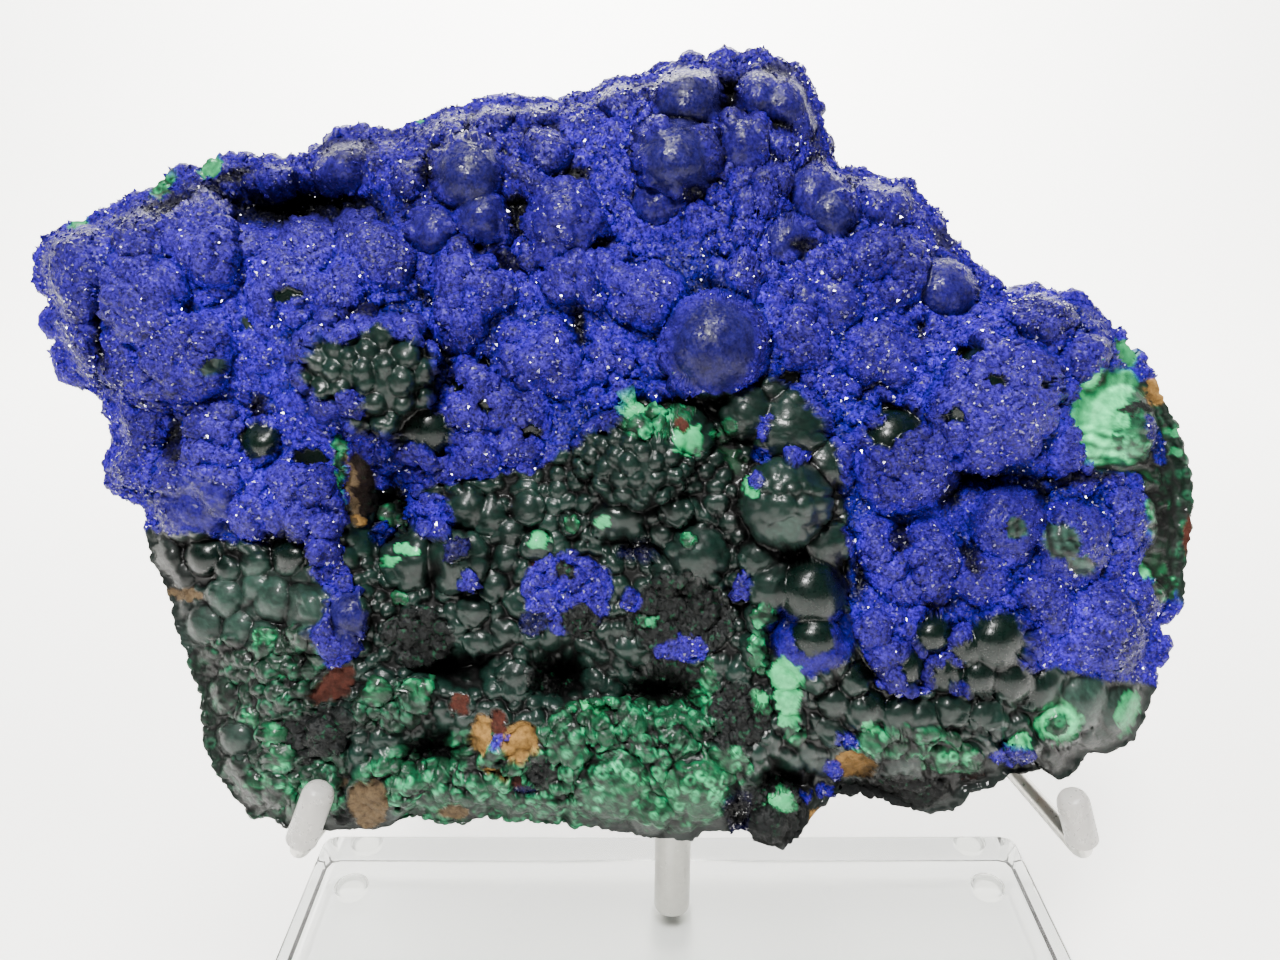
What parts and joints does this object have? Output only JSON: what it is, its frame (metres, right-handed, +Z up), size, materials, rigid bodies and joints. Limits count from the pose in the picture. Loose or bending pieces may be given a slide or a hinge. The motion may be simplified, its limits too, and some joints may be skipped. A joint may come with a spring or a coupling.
{
  "type": "azurite specimen on a display stand",
  "caption": "Broken slab of botryoidal azurite over malachite and ore matrix, leaning back on a bent-arm display stand with a clear base plate.",
  "frame": {"origin": "middle of the whole object's bounding box, at the level of the stand's feet", "axes": "+Z up, -Y out of the face of the slab towards the viewer, +X to the viewer's right"},
  "size_m": [0.238, 0.115, 0.234],
  "materials": {
    "azurite": "velvety blue crust with sparkling grains",
    "malachite": "glossy dark green balls, bright green where broken",
    "ore_matrix": "rough dull ore",
    "clear_acrylic": "polished clear acrylic",
    "satin_steel": "satin",
    "polished_rod": "polished",
    "clear_vinyl": "soft clear vinyl",
    "clear_bumper": "soft clear rubber"
  },
  "bodies": {
    "root": {"specimen": "azurite", "base_plate": "clear_acrylic", "post": "satin_steel", "post_screw": "satin_steel", "arm_hub": "satin_steel", "left_arm": "polished_rod", "right_arm": "polished_rod", "back_arm": "polished_rod", "left_sleeve": "clear_vinyl", "right_sleeve": "clear_vinyl", "back_sleeve": "clear_vinyl", "foot_front_left": "clear_bumper", "foot_front_right": "clear_bumper", "foot_rear_left": "clear_bumper", "foot_rear_right": "clear_bumper"}
  },
  "joints": []
}
